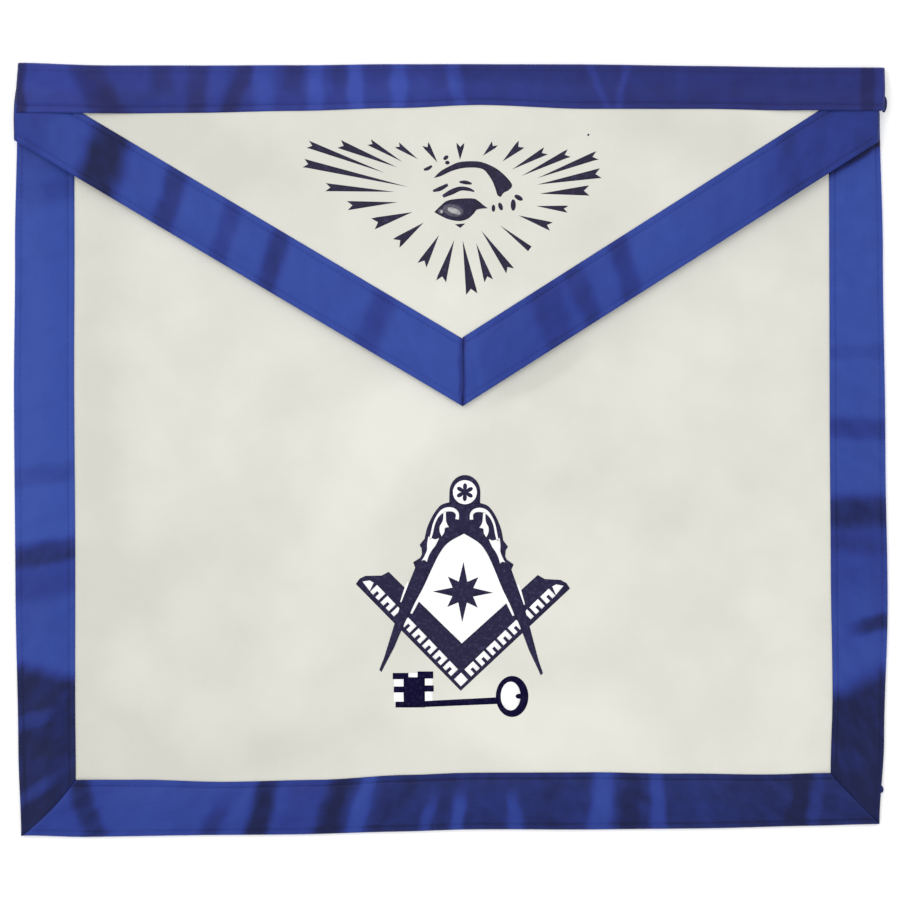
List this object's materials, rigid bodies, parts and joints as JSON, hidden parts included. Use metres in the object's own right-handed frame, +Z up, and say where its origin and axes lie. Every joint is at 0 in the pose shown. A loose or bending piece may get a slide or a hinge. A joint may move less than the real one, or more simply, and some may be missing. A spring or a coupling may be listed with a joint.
{
  "type": "masonic apron",
  "caption": "White cloth lodge apron with a pointed flap and satin ribbon borders, stored lying flat on its back with its face up.",
  "frame": {"origin": "on the surface that the apron lies on, under the middle of its outline", "axes": "+X to the right as the face is seen with the waistband at the top, +Y towards the waistband, +Z up out of the face"},
  "size_m": [0.4066, 0.3606, 0.0096],
  "materials": {
    "white_cloth": "matte white cloth with a slight warm cast",
    "blue_satin": "royal blue satin ribbon with a soft sheen, near black where it turns away from the light"
  },
  "bodies": {
    "root": {"body_panel": "white_cloth", "flap_panel": "white_cloth", "side_ribbon_left": "blue_satin", "side_ribbon_right": "blue_satin", "bottom_ribbon": "blue_satin", "flap_ribbon_left": "blue_satin", "flap_ribbon_right": "blue_satin", "waistband": "blue_satin"}
  },
  "joints": []
}
